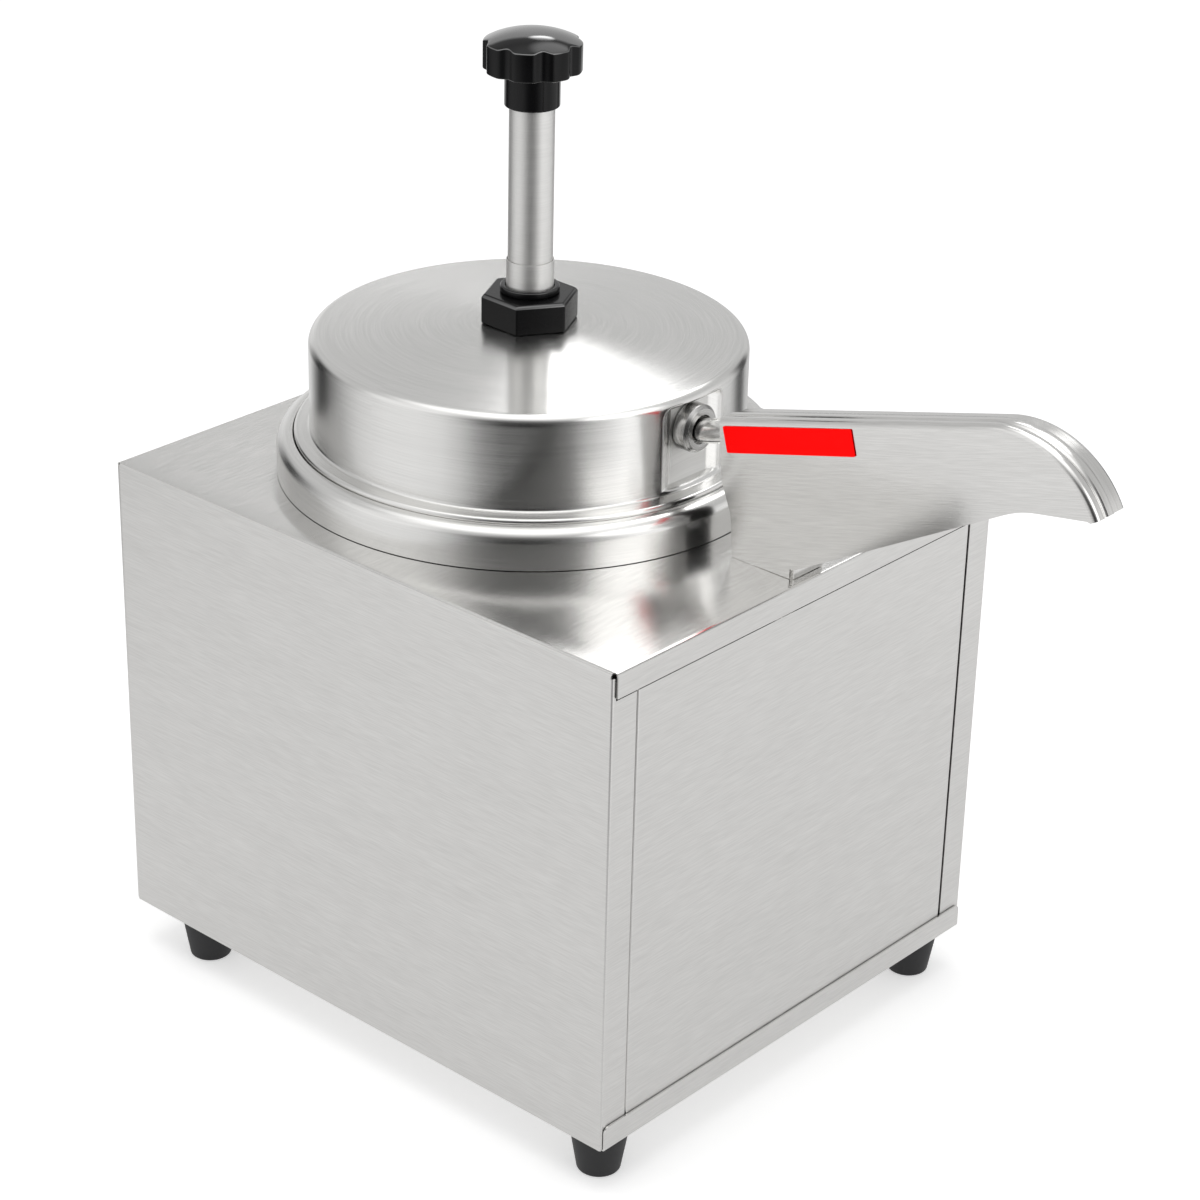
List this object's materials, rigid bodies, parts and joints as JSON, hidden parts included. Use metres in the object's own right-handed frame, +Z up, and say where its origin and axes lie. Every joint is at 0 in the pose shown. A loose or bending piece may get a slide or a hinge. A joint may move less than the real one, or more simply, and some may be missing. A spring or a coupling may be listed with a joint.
{
  "type": "hot fudge topping warmer",
  "caption": "Box-shaped stainless counter-top topping warmer with a heated well, lift-out pot, lid with a plunger pump, and a covered, rising dispensing spout.",
  "frame": {"origin": "middle of the whole object's footprint, on the plane that the feet stand on", "axes": "+Z up; -Y towards the spout, which is the front; +X to the right of someone who stands in front and faces the object"},
  "size_m": [0.255, 0.4564, 0.4517],
  "materials": {
    "brushed": "brushed stainless sheet, grain along the panels",
    "polished": "polished stainless",
    "inner_steel": "plain drawn stainless",
    "aluminium": "plain cast",
    "black_plastic": "black gloss",
    "nut_plastic": "black satin",
    "white_plastic": "off-white satin",
    "black_rubber": "black matt",
    "silicone": "grey satin",
    "felt": "wool felt",
    "red_film": "red satin film, no lettering",
    "red_plastic": "red gloss",
    "lamp": "amber gloss",
    "copper": "bare copper",
    "brown_wire": "brown insulation",
    "blue_wire": "blue insulation"
  },
  "bodies": {
    "cabinet": {"cabinet_wrap": "brushed", "base_tray": "brushed", "front_panel": "brushed", "rear_panel": "brushed", "rear_screw_1": "polished", "rear_screw_2": "polished", "rear_screw_3": "polished", "rear_screw_4": "polished", "foot_front_left": "black_rubber", "foot_front_right": "black_rubber", "foot_rear_left": "black_rubber", "foot_rear_right": "black_rubber", "foot_screw_front_left": "polished", "foot_screw_front_right": "polished", "foot_screw_rear_left": "polished", "foot_screw_rear_right": "polished", "deck_collar": "polished", "well_pan": "inner_steel", "heater_band": "silicone", "heater_plate": "aluminium", "insulation_jacket": "felt", "thermostat_body": "white_plastic", "thermostat_bulb": "copper", "switch_housing": "black_plastic", "indicator_lamp": "lamp", "cord_gland": "nut_plastic", "terminal_block": "white_plastic", "wire_line": "brown_wire", "wire_neutral": "blue_wire", "wire_switched": "brown_wire", "wire_heater": "brown_wire", "wire_return": "blue_wire"},
    "pot": {"topping_pot": "inner_steel"},
    "pump": {"pump_lid": "polished", "lid_gasket": "white_plastic", "pump_head": "inner_steel", "lid_lock_nut": "nut_plastic", "rod_wiper": "black_rubber", "rod_guide": "polished", "pump_cylinder": "inner_steel", "valve_body": "inner_steel", "ball_pin": "polished", "riser_tube": "inner_steel", "discharge_fitting": "polished", "fitting_gasket": "white_plastic", "plunger_spring": "inner_steel"},
    "plunger": {"star_knob": "black_plastic", "plunger_rod": "polished", "piston": "white_plastic", "piston_seal": "silicone"},
    "inlet_ball": {"inlet_ball": "polished"},
    "outlet_ball": {"outlet_ball": "polished"},
    "tube": {"discharge_tube": "polished"},
    "union": {"union_nut": "polished"},
    "shroud": {"shroud_left": "brushed", "shroud_right": "brushed", "shroud_floor": "brushed", "caution_strip": "red_film"},
    "dial": {"thermostat_dial": "black_plastic"},
    "rocker": {"switch_rocker": "red_plastic"}
  },
  "joints": [
    {"name": "pot_lift", "type": "slide", "parent": "cabinet", "child": "pot", "axis": [0, 0, 1], "range_m": [0, 0.195]},
    {"name": "pump_lift", "type": "slide", "parent": "pot", "child": "pump", "axis": [0, 0, 1], "range_m": [0, 0.19]},
    {"name": "plunger_slide", "type": "slide", "parent": "pump", "child": "plunger", "axis": [0, 0, -1], "range_m": [0, 0.068], "stiffness_N_per_m": 250, "springref_m": -0.03, "deforming": ["plunger_spring"]},
    {"name": "inlet_ball_lift", "type": "slide", "parent": "pump", "child": "inlet_ball", "axis": [0, 0, 1], "range_m": [0, 0.0035]},
    {"name": "outlet_ball_lift", "type": "slide", "parent": "pump", "child": "outlet_ball", "axis": [0, 0, 1], "range_m": [0, 0.003]},
    {"name": "tube_pull", "type": "slide", "parent": "pump", "child": "tube", "axis": [0, -1, 0], "range_m": [0, 0.03]},
    {"name": "union_turn", "type": "hinge", "parent": "tube", "child": "union", "pos_m": [0, -0.01846, 0.2982], "axis": [0, 1, 0], "continuous": true},
    {"name": "shroud_slide", "type": "slide", "parent": "tube", "child": "shroud", "axis": [0, -0.9593, 0.2823], "range_m": [0, 0.19]},
    {"name": "dial_turn", "type": "hinge", "parent": "cabinet", "child": "dial", "pos_m": [0.074, 0.21224, 0.121], "axis": [0, 1, 0], "range_deg": [0, 270]},
    {"name": "rocker_tip", "type": "hinge", "parent": "cabinet", "child": "rocker", "pos_m": [-0.078, 0.21194, 0.113], "axis": [1, 0, 0], "range_deg": [0, 20]}
  ]
}
